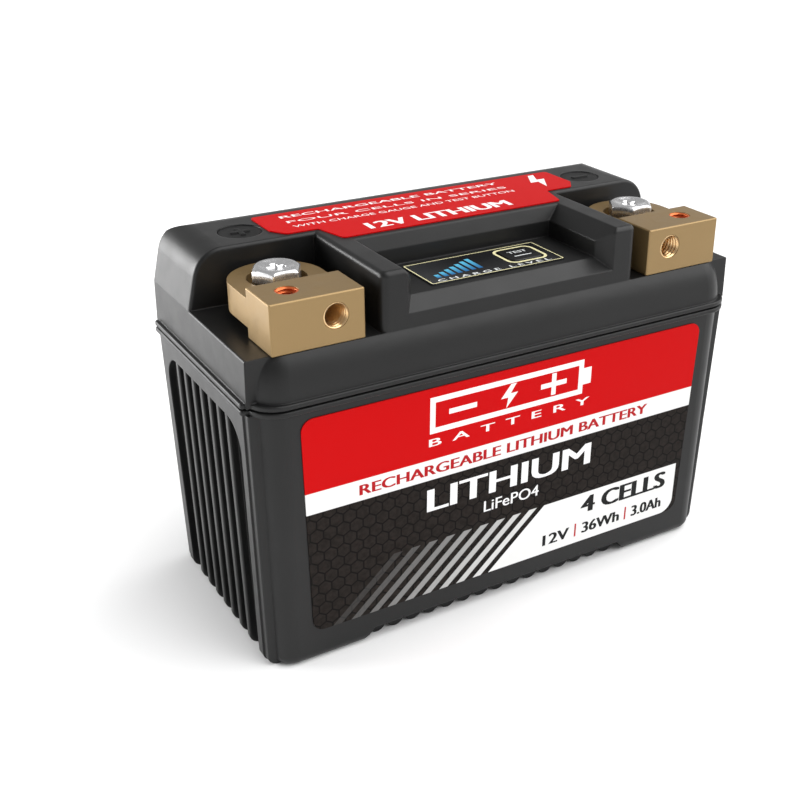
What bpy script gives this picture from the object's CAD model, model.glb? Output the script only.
import math
import bpy
import numpy as np
from mathutils import Matrix, Vector


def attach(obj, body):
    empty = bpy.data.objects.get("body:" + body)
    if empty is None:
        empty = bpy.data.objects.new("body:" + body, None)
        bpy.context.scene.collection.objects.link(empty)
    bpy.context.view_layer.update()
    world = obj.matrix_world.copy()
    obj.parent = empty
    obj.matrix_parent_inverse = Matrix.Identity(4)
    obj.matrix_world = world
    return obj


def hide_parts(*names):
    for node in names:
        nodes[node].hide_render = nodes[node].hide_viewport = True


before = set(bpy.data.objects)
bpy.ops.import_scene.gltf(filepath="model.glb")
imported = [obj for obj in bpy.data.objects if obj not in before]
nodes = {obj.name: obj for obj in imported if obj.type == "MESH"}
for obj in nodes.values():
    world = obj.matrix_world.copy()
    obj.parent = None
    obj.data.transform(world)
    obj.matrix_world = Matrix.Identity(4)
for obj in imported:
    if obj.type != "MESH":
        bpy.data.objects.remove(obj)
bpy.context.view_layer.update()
MM = 0.001

# ---- Camera
# A fairly long lens a third of a metre away, left of the front and a little above the lid. It
# looks at the middle of the battery, and its shift sets the battery in the frame.
CAMERA_AWAY = 0.30458
CAMERA_AIM = Vector((0, 0, 0.0462))
azimuth, elevation, roll = (math.radians(a) for a in (-31.525, 25.149, 0.532))
back = Vector((math.sin(azimuth) * math.cos(elevation), -math.cos(azimuth) * math.cos(elevation),
               math.sin(elevation)))
level = Vector((math.cos(azimuth), math.sin(azimuth), 0))
right = level * math.cos(roll) + back.cross(level) * math.sin(roll)
up = back.cross(right)
camera_data = bpy.data.cameras.new("camera")
camera_data.lens = 52.93
camera_data.sensor_width = 36.0
camera_data.shift_x = -0.0607
camera_data.shift_y = -0.0174
camera = bpy.data.objects.new("camera", camera_data)
facing = Matrix((right, up, back)).transposed().to_4x4()
camera.matrix_world = Matrix.Translation(CAMERA_AIM + back * CAMERA_AWAY) @ facing
bpy.context.collection.objects.link(camera)
bpy.context.scene.camera = camera


# ---- Studio
# A wide white floor, a broad key light from the right, a low softbox behind the left end that
# draws out the ribs, and a surround that is bright at the horizon and dim overhead.
class Finish:
    """A finish under construction: one node material, to which each call adds a node."""

    def __init__(self, name, colour=(0.5, 0.5, 0.5), roughness=0.5, metallic=0.0, specular=0.5):
        self.material = bpy.data.materials.new(name)
        self.material.use_nodes = True
        self.tree = self.material.node_tree
        self.bsdf = self.tree.nodes["Principled BSDF"]
        self.bsdf.inputs["Base Color"].default_value = (*colour, 1.0)
        self.bsdf.inputs["Roughness"].default_value = roughness
        self.bsdf.inputs["Metallic"].default_value = metallic
        self.bsdf.inputs["Specular IOR Level"].default_value = specular
        self.place = self.node("ShaderNodeTexCoord").outputs["Object"]

    def node(self, kind, inputs=(), **settings):
        """One node; inputs maps a socket to a value or to another node's output."""
        made = self.tree.nodes.new(kind)
        for key, value in settings.items():
            setattr(made, key, value)
        for key, value in dict(inputs).items():
            if isinstance(value, bpy.types.NodeSocket):
                self.tree.links.new(value, made.inputs[key])
            else:
                made.inputs[key].default_value = value
        return made

    def math(self, operation, a, b=0.0):
        """One sum on numbers or outputs."""
        return self.node("ShaderNodeMath", {0: a, 1: b}, operation=operation).outputs[0]

    def noise(self, scale, detail=3.0):
        """Even random patches, scale of them to the metre."""
        made = self.node("ShaderNodeTexNoise", {"Vector": self.place, "Scale": scale, "Detail": detail})
        return made.outputs["Fac"]

    def stretch(self, value, low, high, to_low, to_high):
        """value carried from one range to another, and held at its ends."""
        made = self.node("ShaderNodeMapRange", {"Value": value, "From Min": low, "From Max": high,
                                                "To Min": to_low, "To Max": to_high})
        return made.outputs["Result"]

    def blend(self, amount, a, b):
        """Colour a where amount is 0 and colour b where it is 1."""
        a, b = ((*c, 1.0) if isinstance(c, tuple) else c for c in (a, b))
        return self.node("ShaderNodeMix", {0: amount, 6: a, 7: b}, data_type="RGBA").outputs[2]

    def millimetres(self):
        """The place on the piece as X, Y and Z, in millimetres."""
        scaled = self.node("ShaderNodeVectorMath", {0: self.place, 3: 1000.0}, operation="SCALE")
        return tuple(self.node("ShaderNodeSeparateXYZ", {0: scaled.outputs[0]}).outputs)

    def inside(self, value, low, high, soft=0.04):
        """1 where value lies between low and high, with edges soft wide."""
        rise = self.stretch(value, low - soft, low + soft, 0.0, 1.0)
        return self.math("MULTIPLY", rise, self.stretch(value, high - soft, high + soft, 1.0, 0.0))

    def set(self, socket, output):
        """Feeds an output to the shader."""
        self.tree.links.new(output, self.bsdf.inputs[socket])

    def grain(self, scale, strength, edge=0.0):
        """A fine even grain pressed into the surface, with its edges eased to a radius of edge."""
        made = self.node("ShaderNodeBump", {"Height": self.noise(scale, 2.0), "Strength": strength,
                                            "Distance": 0.00004})
        if edge:
            eased = self.node("ShaderNodeBevel", {"Radius": edge}, samples=6)
            self.tree.links.new(eased.outputs["Normal"], made.inputs["Normal"])
        self.set("Normal", made.outputs["Normal"])


paint = Finish("studio_floor", (0.92, 0.92, 0.92), roughness=0.9, specular=0.1)
floor_mesh = bpy.data.meshes.new("floor")
FLOOR_REACH = 6.0
floor_corners = [(x * FLOOR_REACH, y * FLOOR_REACH, 0) for x, y in ((-1, -1), (1, -1), (1, 1), (-1, 1))]
floor_mesh.from_pydata(floor_corners, [], [(0, 1, 2, 3)])
floor_mesh.materials.append(paint.material)
floor = bpy.data.objects.new("floor", floor_mesh)
bpy.context.collection.objects.link(floor)


def studio_light(name, kind, place, aim, power):
    """A lamp at place that faces aim."""
    data = bpy.data.lights.new(name, kind)
    data.energy = power
    light = bpy.data.objects.new(name, data)
    light.location = place
    light.rotation_euler = (Vector(place) - Vector(aim)).to_track_quat("Z", "Y").to_euler()
    bpy.context.collection.objects.link(light)
    return data


key_lamp = studio_light("key_light", "SUN", (0.85, -0.52, 1.15), (0, 0, 0), 3.7)
key_lamp.angle = math.radians(80)
left_lamp = studio_light("left_light", "AREA", (-0.52, 0.42, 0.16), (0, 0.02, 0.02), 6.0)
left_lamp.shape = "RECTANGLE"
left_lamp.size, left_lamp.size_y = 0.55, 0.28

surround = bpy.data.worlds.new("surround")
surround.use_nodes = True
sky = surround.node_tree
direction = sky.nodes.new("ShaderNodeTexCoord").outputs["Generated"]
height = sky.nodes.new("ShaderNodeSeparateXYZ")
dim = sky.nodes.new("ShaderNodeMapRange")
for socket, value in (("From Min", 0.08), ("From Max", 0.30), ("To Min", 1.0), ("To Max", 0.36)):
    dim.inputs[socket].default_value = value
sky.links.new(direction, height.inputs[0])
sky.links.new(height.outputs["Z"], dim.inputs["Value"])
sky.links.new(dim.outputs["Result"], sky.nodes["Background"].inputs["Strength"])
sky.nodes["Background"].inputs["Color"].default_value = (1, 1, 1, 1)
bpy.context.scene.world = surround
bpy.context.scene.view_settings.view_transform = "Standard"


# ---- Tub and lid
# Two mouldings of black polypropylene with a fine satin grain, joined at the rim. The grain is
# spark-eroded into the mould, so it is even all over; handling leaves a faint unevenness.
def moulding(name, shade, roughness=0.38, specular=0.3, grain=0.18):
    """Satin black plastic: nearly even colour, patchy gloss and a fine grain."""
    made = Finish(name, roughness=roughness, specular=specular)
    patches = made.stretch(made.noise(35.0, 2.0), 0.35, 0.65, 0.0, 1.0)
    made.set("Base Color", made.blend(patches, (shade * 0.9,) * 3, (shade * 1.1,) * 3))
    gloss = made.stretch(made.noise(160.0, 4.0), 0.3, 0.7, roughness - 0.04, roughness + 0.04)
    made.set("Roughness", gloss)
    made.grain(5200.0, grain, 0.0005)
    return made.material


def dress(material, *names):
    """Gives CAD nodes their finish."""
    for name in names:
        nodes[name].data.materials.clear()
        nodes[name].data.materials.append(material)


dress(moulding("satin_black_plastic", 0.009), "case", "lid")
dress(moulding("inlay_plastic", 0.004, 0.45, 0.15), "positive_mark", "negative_mark")

# ---- Seam
# A bead of black sealing rubber, squeezed between the two flanges, and the seals where the
# posts come through the lid. It is duller than the mouldings, with a coarser grain.
rubber = Finish("seal_rubber", roughness=0.8, specular=0.2)
rubber.set("Base Color", rubber.blend(rubber.noise(400.0), (0.003, 0.003, 0.003), (0.008, 0.008, 0.008)))
rubber.grain(3000.0, 0.2)
dress(rubber.material, "seam_seal", "post_seals")

# ---- Front label
# A laminated film, printed red over a white band over a dark honeycomb. A slanted white panel
# at the lower right breaks up into stripes that fade to the left.
LABEL_RED = (0.52, 0.002, 0.003)
LABEL_WHITE = (0.80, 0.80, 0.79)
BAND = (40.3, 45.7)             # white band, bottom and top
PANEL_TOP = 23.2
PANEL_LEAN = 1.106              # run of the panel's slanted edge to its rise
PANEL_START = -15.9             # X of that edge, carried down to the ground
PANEL_RIGHT = 53.1
PANEL_CORNER = 4.0
STRIPES = 9
STRIPE_PITCH = 4.8
STRIPE_GAP = 2.2                # dark gap between the panel and the first stripe
LABEL_BOTTOM = 8.5
CELL = 3.3                      # honeycomb, between opposite flats


def honeycomb(film, x, z):
    """1 inside a cell and 0 on its outline. Two offset lattices of centres make the hexagons;
    the distance to the nearer centre is the larger of the flat and the slanted direction."""
    tall = CELL * math.sqrt(3.0)
    found = []
    for shift in (50.0, 50.5):
        u = film.math("ADD", film.math("DIVIDE", x, CELL), shift)
        v = film.math("ADD", film.math("DIVIDE", z, tall), shift)
        u = film.math("MULTIPLY", film.math("SUBTRACT", film.math("FRACT", u), 0.5), CELL)
        v = film.math("MULTIPLY", film.math("SUBTRACT", film.math("FRACT", v), 0.5), tall)
        u = film.math("ABSOLUTE", u)
        v = film.math("ABSOLUTE", v)
        slanted = film.math("ADD", film.math("MULTIPLY", u, 0.5), film.math("MULTIPLY", v, math.sqrt(0.75)))
        found.append(film.math("MAXIMUM", u, slanted))
    return film.stretch(film.math("MINIMUM", *found), CELL * 0.42, CELL * 0.48, 1.0, 0.0)


label = Finish("front_print", roughness=0.3, specular=0.06)
x, y, z = label.millimetres()
mottle = label.stretch(label.noise(900.0, 3.0), 0.35, 0.7, 0.0, 0.6)
field = label.blend(honeycomb(label, x, z), (0.002, 0.002, 0.002), (0.019, 0.015, 0.013))
field = label.blend(mottle, field, (0.006, 0.005, 0.004))
slant = label.math("SUBTRACT", x, label.math("MULTIPLY", z, PANEL_LEAN))
below = label.inside(z, -5.0, PANEL_TOP)
steps = label.math("DIVIDE", label.math("SUBTRACT", PANEL_START - STRIPE_GAP, slant), STRIPE_PITCH)
stripe = label.inside(label.math("FRACT", steps), 0.01, 0.5, 0.008)
stripe = label.math("MULTIPLY", stripe, label.inside(steps, 0.0, STRIPES, 0.001))
fade = label.stretch(label.math("FLOOR", steps), 0.0, STRIPES, 0.85, 0.02)
stripe = label.math("MULTIPLY", stripe, label.math("MULTIPLY", below, label.math("POWER", fade, 1.5)))
lower = label.blend(stripe, field, LABEL_WHITE)
over_x = label.math("MAXIMUM", label.math("SUBTRACT", x, PANEL_RIGHT - PANEL_CORNER), 0.0)
over_z = label.math("MAXIMUM", label.math("SUBTRACT", LABEL_BOTTOM + PANEL_CORNER, z), 0.0)
corner = label.math("SQRT", label.math("ADD", label.math("MULTIPLY", over_x, over_x),
                                       label.math("MULTIPLY", over_z, over_z)))
panel = label.math("MULTIPLY", label.inside(slant, PANEL_START, 200.0), below)
rounded = label.stretch(corner, PANEL_CORNER - 0.04, PANEL_CORNER + 0.04, 1.0, 0.0)
panel = label.math("MULTIPLY", panel, rounded)
lower = label.blend(panel, lower, LABEL_WHITE)
upper = label.blend(label.inside(z, *BAND), lower, LABEL_WHITE)
label.set("Base Color", label.blend(label.inside(z, BAND[1], 100.0), upper, LABEL_RED))
label.grain(2600.0, 0.04)
dress(label.material, "front_label")

# ---- Front lettering
# Words and an emblem of a battery, screen-printed in raised ink on the front label. The
# wording is general: what the thing is, its voltage and its energy.
INK_T = 0.015
FILM_T = 0.25                   # thickness of the labels
TUB_FRONT = -31.3               # the tub's front face, at the rim's underside
RIM_LOW = 65.9
TUB_DRAFT = 1.3                 # degrees


def ink(name, colour):
    """Flat printing ink with a faint unevenness."""
    made = Finish(name, roughness=0.35, specular=0.15)
    made.set("Base Color", made.blend(made.noise(500.0), tuple(c * 0.96 for c in colour), colour))
    return made.material


def lettered(text, spacing=1.0):
    """Corners and faces of a word in the font's own units, one unit thick. The faces come with
    corners of their own, and those that share a place are made one, which closes the seams."""
    curve = bpy.data.curves.new("word", "FONT")
    curve.body = text
    curve.extrude = 0.5
    curve.resolution_u = 4
    curve.space_character = spacing
    word = bpy.data.objects.new("word", curve)
    solid = bpy.data.meshes.new_from_object(word)
    corners = np.empty(len(solid.vertices) * 3)
    solid.vertices.foreach_get("co", corners)
    corners, shared = np.unique(corners.reshape(-1, 3).round(5), axis=0, return_inverse=True)
    shared = shared.ravel().tolist()
    faces = [tuple(dict.fromkeys(shared[i] for i in face.vertices)) for face in solid.polygons]
    bpy.data.objects.remove(word)
    return corners, [face for face in faces if len(face) > 2]


CAP_UNIT = np.ptp(lettered("H")[0][:, 1])


def printed(name, parts, place, material, body="housing"):
    """Words made solid, INK_T thick, laid on the surface that place describes. A part is (text,
    cap height, boldness, x, y, width, spacing): the word is scaled to that cap height and
    stretched to that width, its middle is set at x, y, and copies to each side embolden it,
    each a little thicker than the last, so that no two of their faces lie in one plane."""
    points, faces = [], []
    for text, cap, bold, px, py, width, *spacing in parts:
        co, flat = lettered(text, *spacing)
        low, high = co.min(axis=0), co.max(axis=0)
        co = (co - (low + high) / 2) * ((width - 2 * bold) / (high[0] - low[0]), cap / CAP_UNIT, 1.0)
        for i, shift in enumerate((-bold, 0.0, bold) if bold else (0.0,)):
            start = sum(len(p) for p in points)
            points.append((co + (px + shift, py, 0.5)) * (1, 1, INK_T * (1 + 0.3 * i)))
            faces += [tuple(start + i for i in face) for face in flat]
    return laid(name, np.concatenate(points), faces, place, material, body)


def laid(name, points, faces, place, material, body):
    """A mesh in its surface's own X, Y and height, in millimetres, set down at place."""
    mesh = bpy.data.meshes.new(name)
    turned = points @ np.array(place.to_3x3()).T + np.array(place.translation)
    mesh.from_pydata((turned * MM).tolist(), [], faces)
    mesh.materials.append(material)
    piece = bpy.data.objects.new(name, mesh)
    bpy.context.collection.objects.link(piece)
    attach(piece, body)
    return piece


def slab(outline):
    """Top, bottom and side faces of a flat outline, INK_T thick: ring 0 below and ring 1 above."""
    outline = np.array(outline, float)
    count = len(outline)
    points = np.vstack([np.column_stack([outline, np.full(count, h)]) for h in (0.0, INK_T)])
    sides = [(i, (i + 1) % count, count + (i + 1) % count, count + i) for i in range(count)]
    return points, [tuple(range(count))[::-1], tuple(range(count, 2 * count))] + sides


def shapes(name, outlines, place, material, body="housing"):
    """Several flat outlines, anticlockwise, as one printed piece."""
    points, faces = [], []
    for outline in outlines:
        more, more_faces = slab(outline)
        start = sum(len(p) for p in points)
        faces += [tuple(start + i for i in face) for face in more_faces]
        points.append(more)
    return laid(name, np.concatenate(points), faces, place, material, body)


def block(x0, x1, y0, y1):
    """Outline of a rectangle, anticlockwise."""
    return [(x0, y0), (x1, y0), (x1, y1), (x0, y1)]


LIGHTNING = np.array([(0.1, 1.0), (-0.62, -0.12), (-0.08, -0.12), (-0.2, -1.0),
                      (0.62, 0.2), (0.08, 0.2), (0.5, 1.0)])

lean = math.radians(TUB_DRAFT)
label_plane = Matrix.Translation((0, TUB_FRONT, RIM_LOW)) @ Matrix(
    ((1, 0, 0), (0, -math.sin(lean), -math.cos(lean)), (0, math.cos(lean), -math.sin(lean)))).to_4x4()
label_plane = label_plane @ Matrix.Translation((0, -RIM_LOW, FILM_T))
white_ink = ink("white_ink", (0.86, 0.86, 0.86))
red_ink = ink("red_ink", (0.42, 0.004, 0.008))
black_ink = ink("black_ink", (0.006, 0.006, 0.006))
printed("front_words_white", [("LITHIUM", 5.9, 0.36, -0.6, 34.7, 47.8),
                              ("LiFePO4", 3.0, 0.05, -0.4, 28.4, 16.2),
                              ("BATTERY", 1.9, 0.1, -1.4, 50.1, 45.6, 1.9)], label_plane, white_ink)
printed("front_words_red", [("RECHARGEABLE LITHIUM BATTERY", 2.6, 0.18, -0.75, 43.0, 82.7)], label_plane,
        red_ink)
printed("front_words_black", [("4 CELLS", 4.7, 0.42, 35.7, 19.4, 28.3), ("12V", 3.1, 0.2, 14.1, 12.4, 8.4),
                              ("36Wh", 3.1, 0.2, 28.6, 12.4, 12.4), ("3.0Ah", 3.1, 0.2, 44.0, 12.4, 10.3)],
        label_plane, black_ink)
shapes("front_bars_red", [block(20.0, 20.5, 10.5, 14.4), block(36.5, 37.0, 10.5, 14.4)],
       label_plane, red_ink)
shapes("front_emblem", [block(-24, 19, 60.2, 61.6), block(-24, 19, 52.4, 53.8), block(-24, -22.6, 53.8, 60.2),
                        block(17.6, 19, 53.8, 60.2), block(19, 21.4, 54.8, 59.2),
                        block(-19, -11.5, 56.4, 57.7), block(6.5, 14, 56.4, 57.7),
                        block(9.6, 10.9, 54.2, 56.4), block(9.6, 10.9, 57.7, 59.9),
                        (LIGHTNING * (3.8, 3.0) + (-2.5, 57.0)).tolist()],
       label_plane, white_ink)

# ---- Top label
# The same film in plain red on the flat of the lid. Its title, three lines of small words and
# a lightning emblem are raised white ink, as on the front.
top_film = Finish("top_print", LABEL_RED, roughness=0.36, specular=0.03)
top_film.set("Base Color", top_film.blend(top_film.noise(60.0), LABEL_RED, (0.47, 0.002, 0.003)))
top_film.grain(2600.0, 0.04)
dress(top_film.material, "top_label")
TOP_LABEL_FACE = 92.25
top_plane = Matrix.Translation((0, 0, TOP_LABEL_FACE))
printed("top_words", [("12V LITHIUM", 4.4, 0.28, -2.0, 1.4, 40.0),
                      ("RECHARGEABLE BATTERY", 1.7, 0.06, -6.0, 17.6, 62.0),
                      ("FOUR CELLS IN SERIES", 1.5, 0.0, -6.0, 13.4, 62.0),
                      ("WITH CHARGE GAUGE AND TEST BUTTON", 1.5, 0.0, -6.0, 9.6, 62.0)], top_plane, white_ink)
shapes("top_emblem", [(LIGHTNING * (4.4, 5.4) + (36.0, 14.2)).tolist()], top_plane, white_ink)


# ---- Terminals
# Brass blocks, sawn from bar, milled and left bare, one on each post. The holes in the front
# and the top are tapped for the leads' screws.
def metal(name, dark, light, roughness, scale=300.0, metallic=1.0, marks=0.08):
    """Bare metal: a slow change of tone, and a gloss broken by fine marks."""
    made = Finish(name, roughness=roughness, metallic=metallic)
    made.set("Base Color", made.blend(made.noise(scale), dark, light))
    gloss = made.stretch(made.noise(scale * 4, 4.0), 0.3, 0.7, roughness - 0.05, roughness + 0.07)
    made.set("Roughness", gloss)
    made.grain(scale * 10, marks, 0.0002)
    return made.material


brass = metal("block_brass", (0.275, 0.180, 0.076), (0.31, 0.208, 0.092), 0.38, 60.0, 0.6, 0.02)
thread_brass = metal("tapped_brass", (0.66, 0.44, 0.22), (0.80, 0.56, 0.30), 0.2, 200.0, 0.9, 0.01)
thread_copper = metal("tapped_copper", (0.62, 0.13, 0.035), (0.74, 0.18, 0.05), 0.3, 200.0, 0.6)
for pole in ("positive", "negative"):
    dress(brass, "terminal_block_" + pole, "terminal_post_" + pole)

THREAD_DEPTH = 0.45
FRONT_HOLE = (45.3, -28.95, 84.8)       # for the right-hand block; the left is its mirror image
TOP_HOLE = (53.4, -22.5, 89.9)


def tapped(name, centre, way, radius, pitch, depth, material):
    """Lining of a tapped hole. Its inner radius follows a triangle wave of the depth less the
    turned share of the pitch, so that the groove is a helix; a plain outer wall closes it."""
    turns = np.linspace(0, 2 * np.pi, 49)[:-1]
    deep = np.linspace(0.15, depth - 0.1, int(depth / pitch * 10))
    angle, run = np.meshgrid(turns, deep)
    wave = np.abs((run / pitch - angle / (2 * np.pi)) % 1.0 - 0.5) * 2
    inner = radius - 0.06 - THREAD_DEPTH * wave
    outer = np.full_like(inner, radius - 0.02)
    across = np.stack([inner, outer[::-1]])
    along_hole = np.stack([run, run[::-1]])
    r = across.reshape(-1, len(turns))
    d = along_hole.reshape(-1, len(turns))
    a = np.broadcast_to(turns, r.shape)
    axis = np.array(way, float)
    side = np.cross(axis, (0, 1, 0) if abs(axis[1]) < 0.5 else (1, 0, 0))
    other = np.cross(axis, side)
    points = (np.array(centre) - axis * d[..., None] + side * (r * np.cos(a))[..., None]
              + other * (r * np.sin(a))[..., None])
    return ring_piece(name, points, material, closed=True)


def ring_piece(name, points, material, closed=False, body="housing"):
    """Skin over a stack of rings. A closed stack joins its last ring to its first; an open one
    ends in a face at each end."""
    rows, count = points.shape[:2]
    index = np.arange(rows * count).reshape(rows, count)
    here = index if closed else index[:-1]
    there = np.roll(index, -1, axis=0) if closed else index[1:]
    quads = np.stack([here, np.roll(here, -1, axis=1), np.roll(there, -1, axis=1), there], axis=-1)
    faces = quads.reshape(-1, 4).tolist()
    if not closed:
        faces += [index[0][::-1].tolist(), index[-1].tolist()]
    mesh = bpy.data.meshes.new(name)
    mesh.from_pydata((points.reshape(-1, 3) * MM).tolist(), [], faces)
    mesh.shade_smooth()
    mesh.materials.append(material)
    piece = bpy.data.objects.new(name, mesh)
    bpy.context.collection.objects.link(piece)
    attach(piece, body)
    return piece


for pole, side in (("positive", -1), ("negative", 1)):
    mirror = np.array([side, 1, 1])
    tapped("front_thread_" + pole, mirror * FRONT_HOLE, (0, -1, 0), 3.0, 1.0, 10.0, thread_brass)
    tapped("top_thread_" + pole, mirror * TOP_HOLE, (0, 0, 1), 2.6, 0.8, 9.0, thread_copper)

# ---- Terminal bolts
# Forged hexagon bolts, zinc plated, with a chamfered and dished head that has a cross recess,
# over a spring washer and a flat washer in the block's counterbore.
HEAD_AF = 10.0
HEAD_TOP = 90.4
HEAD_LOW = 86.4
CROWN = 4.55                    # radius of the flat part of the head's top
SHANK_R = 2.9
SHANK_LOW = 73.8
BOLT_AT = (49.33, -8.2)


def bolt(name, centre, pole):
    """One skin from the middle of the head out over the chamfer, down the six flats and along
    the threaded shank. The head's radius is half the flats' distance over the cosine of the
    angle from the nearest flat; the cross is two crossed grooves with sloping walls."""
    turns = np.linspace(0, 2 * np.pi, 145)[:-1]
    hexagon = HEAD_AF / 2 / np.cos(turns % (np.pi / 3) - np.pi / 6)
    radii = np.linspace(0.03, CROWN, 46)[:, None] * np.ones_like(turns)
    px, py = radii * np.cos(turns), radii * np.sin(turns)
    one, two = (np.clip((0.8 - np.abs(a)) / 0.4, 0, 1) * np.clip((2.3 - np.abs(b)) / 0.7, 0, 1)
                for a, b in ((px, py), (py, px)))
    dish = 0.55 * np.clip(1 - (radii / 3.9) ** 3, 0, 1)
    top = HEAD_TOP - dish - 0.8 * np.maximum(one, two)
    rim = HEAD_TOP - (hexagon - CROWN) * 0.62
    run = np.arange(HEAD_LOW - 0.1, SHANK_LOW + 0.1, -0.12)
    shank = SHANK_R - 0.3 * np.abs((run[:, None] - turns / (2 * np.pi)) % 1.0 - 0.5) * 2
    rings = [radii, hexagon[None] - 0.02, hexagon[None], hexagon[None], hexagon[None] - 0.15, shank,
             np.full((1, len(turns)), 0.03)]
    heights = [top, rim[None] + 0.01, rim[None] - 0.03, np.full_like(hexagon, HEAD_LOW + 0.1)[None],
               np.full_like(hexagon, HEAD_LOW)[None], run[:, None] * np.ones_like(turns),
               np.full((1, len(turns)), SHANK_LOW)]
    r, h = np.concatenate(rings), np.concatenate(heights)
    points = np.stack([centre[0] + r * np.cos(turns), centre[1] + r * np.sin(turns), h], axis=-1)
    piece = ring_piece(name, points[::-1], plated)
    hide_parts("terminal_bolt_" + pole)


plated = metal("bolt_steel", (0.66, 0.66, 0.67), (0.78, 0.78, 0.79), 0.24, 250.0, 0.9, 0.01)
washer = metal("washer_steel", (0.60, 0.50, 0.34), (0.72, 0.62, 0.44), 0.28, 500.0)
for pole, side in (("positive", -1), ("negative", 1)):
    bolt("hex_bolt_" + pole, (side * BOLT_AT[0], BOLT_AT[1]), pole)
    dress(washer, "split_washer_" + pole, "flat_washer_" + pole)

# ---- Charge gauge
# A printed polyester membrane over the recess in the lid: seven bars that the lamps light
# from behind, a thin cream frame, and a key at the right.
CREAM = (0.92, 0.86, 0.50)
MEMBRANE_FACE = 84.7
KEY_FACE = (10.5, -14.9, 84.95)
BARS = 7
BAR_PITCH = 1.95
BAR_START = -15.1
film = Finish("overlay_print", roughness=0.2, specular=0.3)
x, y, z = film.millimetres()
glow = film.stretch(x, -19.0, -4.0, 0.6, 0.0)
ground = film.blend(glow, (0.006, 0.006, 0.007), (0.045, 0.047, 0.050))


def frame_line(film, x, y, centre, half, radius, inset, width):
    """1 on a line that runs inset inside the edge of a rounded rectangle. The distance to the
    edge is the length of what lies beyond the corner's centre, less the radius."""
    dx = film.math("SUBTRACT", film.math("ABSOLUTE", film.math("SUBTRACT", x, centre[0])), half[0] - radius)
    dy = film.math("SUBTRACT", film.math("ABSOLUTE", film.math("SUBTRACT", y, centre[1])), half[1] - radius)
    outer_x, outer_y = film.math("MAXIMUM", dx, 0.0), film.math("MAXIMUM", dy, 0.0)
    beyond = film.math("SQRT", film.math("ADD", film.math("MULTIPLY", outer_x, outer_x),
                                         film.math("MULTIPLY", outer_y, outer_y)))
    within = film.math("MINIMUM", film.math("MAXIMUM", dx, dy), 0.0)
    away = film.math("SUBTRACT", film.math("ADD", beyond, within), radius)
    return film.inside(away, -inset - width, -inset, 0.03)


number = film.math("DIVIDE", film.math("SUBTRACT", x, BAR_START), BAR_PITCH)
which = film.math("FLOOR", number)
bar_low = film.math("ADD", film.math("MULTIPLY", which, 0.18), -19.6)
bar_high = film.math("ADD", film.math("MULTIPLY", which, 0.98), -17.5)
rise = film.math("DIVIDE", film.math("SUBTRACT", y, bar_low), film.math("SUBTRACT", bar_high, bar_low))
bar = film.math("MULTIPLY", film.inside(film.math("FRACT", number), 0.02, 0.62, 0.02),
                film.inside(rise, 0.0, 1.0, 0.02))
bar = film.math("MULTIPLY", bar, film.inside(number, 0.0, BARS, 0.001))
lit = film.blend(bar, ground, film.blend(rise, (0.01, 0.12, 0.34), (0.12, 0.55, 0.80)))
lines = film.math("MAXIMUM", frame_line(film, x, y, (0, -15.6), (18.4, 7.1), 0.8, 0.25, 0.28),
                  frame_line(film, x, y, KEY_FACE[:2], (5.6, 5.0), 2.4, 0.0, 0.7))
film.set("Base Color", film.blend(lines, lit, CREAM))
dress(film.material, "gauge_overlay")
gauge_plane = Matrix.Translation((0, 0, MEMBRANE_FACE))
pale_ink = ink("pale_ink", (0.80, 0.82, 0.82))
printed("gauge_words", [("CHARGE LEVEL", 1.3, 0.05, -0.5, -21.2, 31.0, 1.5)], gauge_plane, pale_ink)

# ---- Test button
# A low key of smooth black plastic over the switch; pressing it lights the bars. Its word and
# line ride on the button, so they go down with it.
dress(moulding("button_plastic", 0.007, 0.25, 0.3, 0.05), "test_button")
key_plane = Matrix.Translation(KEY_FACE)
printed("key_word", [("TEST", 1.3, 0.05, 0.0, 1.2, 5.2)], key_plane, pale_ink, "button")
shapes("key_line", [block(-2.4, 2.4, -1.6, -1.2)], key_plane, pale_ink, "button")

# ---- Gauge electronics
# A green glass-fibre board screwed under the recess, with its lamps, a clear light guide, a
# snap switch with a red plunger, and three thin grey wires down to the management board.
def plain(name, dark, light, roughness=0.5, scale=400.0, grain=0.1, specular=0.4):
    """Plastic, resin or foam: a fine change of tone and a grain."""
    made = Finish(name, roughness=roughness, specular=specular)
    made.set("Base Color", made.blend(made.noise(scale), dark, light))
    made.grain(scale * 6, grain)
    return made


board = plain("board_resin", (0.010, 0.10, 0.035), (0.018, 0.15, 0.05), 0.3, 250.0)
x, y, z = board.millimetres()
diagonal = board.math("DIVIDE", board.math("ADD", x, y), 2.4)
tracks = board.inside(board.math("FRACT", diagonal), 0.3, 0.42, 0.03)
board.set("Base Color", board.blend(tracks, (0.012, 0.11, 0.04), (0.03, 0.20, 0.08)))
dress(board.material, "gauge_board", "management_board")
dress(plain("led_resin", (0.55, 0.62, 0.66), (0.72, 0.80, 0.84), 0.25).material, "gauge_leds")
guide = plain("guide_clear", (0.75, 0.80, 0.82), (0.85, 0.88, 0.90), 0.12)
guide.bsdf.inputs["Transmission Weight"].default_value = 0.6
dress(guide.material, "light_guide")
dress(plain("switch_body", (0.012, 0.012, 0.013), (0.022, 0.022, 0.024), 0.45).material, "test_switch")
dress(plain("switch_red", (0.40, 0.012, 0.010), (0.52, 0.020, 0.016), 0.4).material, "switch_plunger")
dress(metal("screw_steel", (0.50, 0.50, 0.52), (0.66, 0.66, 0.68), 0.3), "gauge_screws", "post_nuts")
dress(plain("wire_grey", (0.20, 0.20, 0.21), (0.28, 0.28, 0.29), 0.5).material, "gauge_cable")

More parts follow.
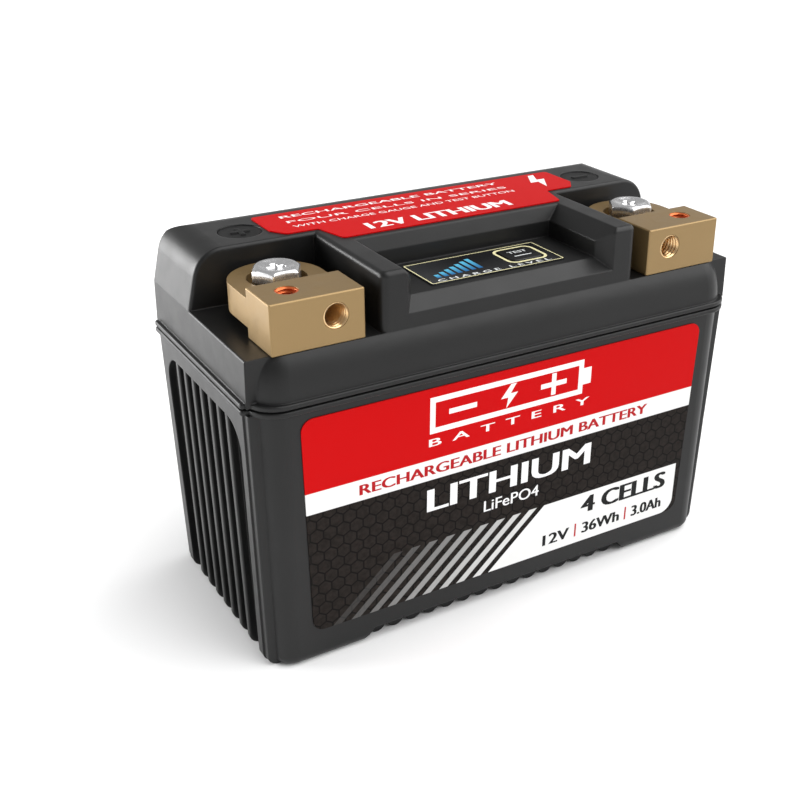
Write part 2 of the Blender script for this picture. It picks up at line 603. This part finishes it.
# ---- Leads and lugs
# Silicone-covered copper leads, red and black, crimped into tinned copper ring lugs that the
# nuts hold on the posts' stubs.
dress(metal("lug_copper", (0.60, 0.28, 0.16), (0.72, 0.36, 0.22), 0.3), "ring_lug_positive",
      "ring_lug_negative")
dress(plain("lead_red", (0.42, 0.010, 0.010), (0.52, 0.016, 0.014), 0.55).material, "lead_positive")
dress(plain("lead_black", (0.008, 0.008, 0.008), (0.016, 0.016, 0.016), 0.55).material, "lead_negative")

# ---- Cells
# Four pouch cells in aluminium laminate, with foam pads between them, aluminium and nickel
# tabs, and a turn of glass-fibre tape; they stand on a foam sheet under an insulating tray.
pouch = plain("cell_foil", (0.52, 0.53, 0.55), (0.66, 0.67, 0.69), 0.34, 90.0, 0.25)
pouch.bsdf.inputs["Metallic"].default_value = 0.85
dress(pouch.material, "cell_1", "cell_2", "cell_3", "cell_4")
dress(metal("tab_aluminium", (0.70, 0.71, 0.73), (0.80, 0.81, 0.83), 0.32), "cell_tabs_positive")
dress(metal("tab_nickel", (0.56, 0.53, 0.48), (0.66, 0.63, 0.58), 0.30), "cell_tabs_negative", "bus_links")
dress(plain("pad_foam", (0.035, 0.036, 0.040), (0.070, 0.072, 0.078), 0.95, 900.0, 0.6, 0.1).material,
      "cell_pads", "base_pad")
tape = plain("tape_glass", (0.50, 0.46, 0.34), (0.62, 0.58, 0.45), 0.4, 200.0)
x, y, z = tape.millimetres()
strands = tape.inside(tape.math("FRACT", tape.math("DIVIDE", z, 1.6)), 0.35, 0.65, 0.08)
tape.set("Base Color", tape.blend(strands, (0.52, 0.48, 0.36), (0.74, 0.71, 0.60)))
dress(tape.material, "cell_wrap")
dress(plain("tray_plastic", (0.55, 0.56, 0.56), (0.66, 0.67, 0.67), 0.5).material, "cell_tray")

# ---- Management board parts
# Power transistors, shunt resistors, the balancing controller and three capacitors, soldered
# to the board over the cells.
dress(plain("chip_resin", (0.010, 0.010, 0.011), (0.020, 0.020, 0.021), 0.5, 700.0).material,
      "board_transistors", "board_controller")
dress(plain("resistor_ceramic", (0.02, 0.02, 0.03), (0.05, 0.05, 0.07), 0.35).material, "board_resistors")
dress(metal("capacitor_can", (0.60, 0.61, 0.63), (0.72, 0.73, 0.75), 0.28), "board_capacitors")
